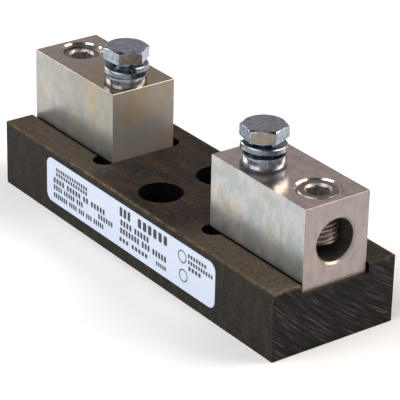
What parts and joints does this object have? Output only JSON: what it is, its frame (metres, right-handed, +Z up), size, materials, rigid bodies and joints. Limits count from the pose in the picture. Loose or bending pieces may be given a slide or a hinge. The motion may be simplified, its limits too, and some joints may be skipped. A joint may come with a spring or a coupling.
{
  "type": "fuse block",
  "caption": "One-pole block for a bolt-in blade fuse: a laminate base with two plated wire connectors, each with a fuse bolt, washers and a socket set screw for the wire.",
  "frame": {"origin": "centre of the base's underside", "axes": "+X along the base towards the near connector, +Z up, the labelled side faces -Y"},
  "size_m": [0.1204, 0.0377, 0.047],
  "materials": {
    "laminate": "machined brown laminate",
    "plated_aluminium": "tin plated, satin",
    "zinc_steel": "bright zinc plated",
    "screw_steel": "plated, machined",
    "label_stock": "white coated paper"
  },
  "bodies": {
    "block": {"base": "laminate", "label": "label_stock", "connector_near": "plated_aluminium", "connector_far": "plated_aluminium", "base_screw_near": "zinc_steel", "base_screw_far": "zinc_steel", "base_lock_washer_near": "zinc_steel", "base_lock_washer_far": "zinc_steel", "base_flat_washer_near": "zinc_steel", "base_flat_washer_far": "zinc_steel"},
    "washers_near": {"lock_washer_near": "zinc_steel", "flat_washer_near": "zinc_steel"},
    "bolt_near": {"fuse_bolt_near": "zinc_steel"},
    "clamp_near": {"clamp_screw_near": "screw_steel"},
    "washers_far": {"lock_washer_far": "zinc_steel", "flat_washer_far": "zinc_steel"},
    "bolt_far": {"fuse_bolt_far": "zinc_steel"},
    "clamp_far": {"clamp_screw_far": "screw_steel"}
  },
  "joints": [
    {"name": "bolt_lift_near", "type": "slide", "parent": "block", "child": "washers_near", "axis": [0, 0, 1], "range_m": [0, 0.0095]},
    {"name": "bolt_turn_near", "type": "hinge", "parent": "washers_near", "child": "bolt_near", "pos_m": [0.02995, 0.0003, 0.038], "axis": [0, 0, 1], "range_deg": [0, 2694]},
    {"name": "clamp_travel_near", "type": "slide", "parent": "block", "child": "clamp_near", "axis": [0, 0, 1], "range_m": [-0.00085, 0.008]},
    {"name": "bolt_lift_far", "type": "slide", "parent": "block", "child": "washers_far", "axis": [0, 0, 1], "range_m": [0, 0.0095]},
    {"name": "bolt_turn_far", "type": "hinge", "parent": "washers_far", "child": "bolt_far", "pos_m": [-0.02995, 0.0003, 0.038], "axis": [0, 0, 1], "range_deg": [0, 2694]},
    {"name": "clamp_travel_far", "type": "slide", "parent": "block", "child": "clamp_far", "axis": [0, 0, 1], "range_m": [0, 0.0088]}
  ],
  "couplings": [
    {"joint": "bolt_turn_near", "follows": "bolt_lift_near", "rad_per_m": 4947.4},
    {"joint": "bolt_turn_far", "follows": "bolt_lift_far", "rad_per_m": 4947.4}
  ]
}
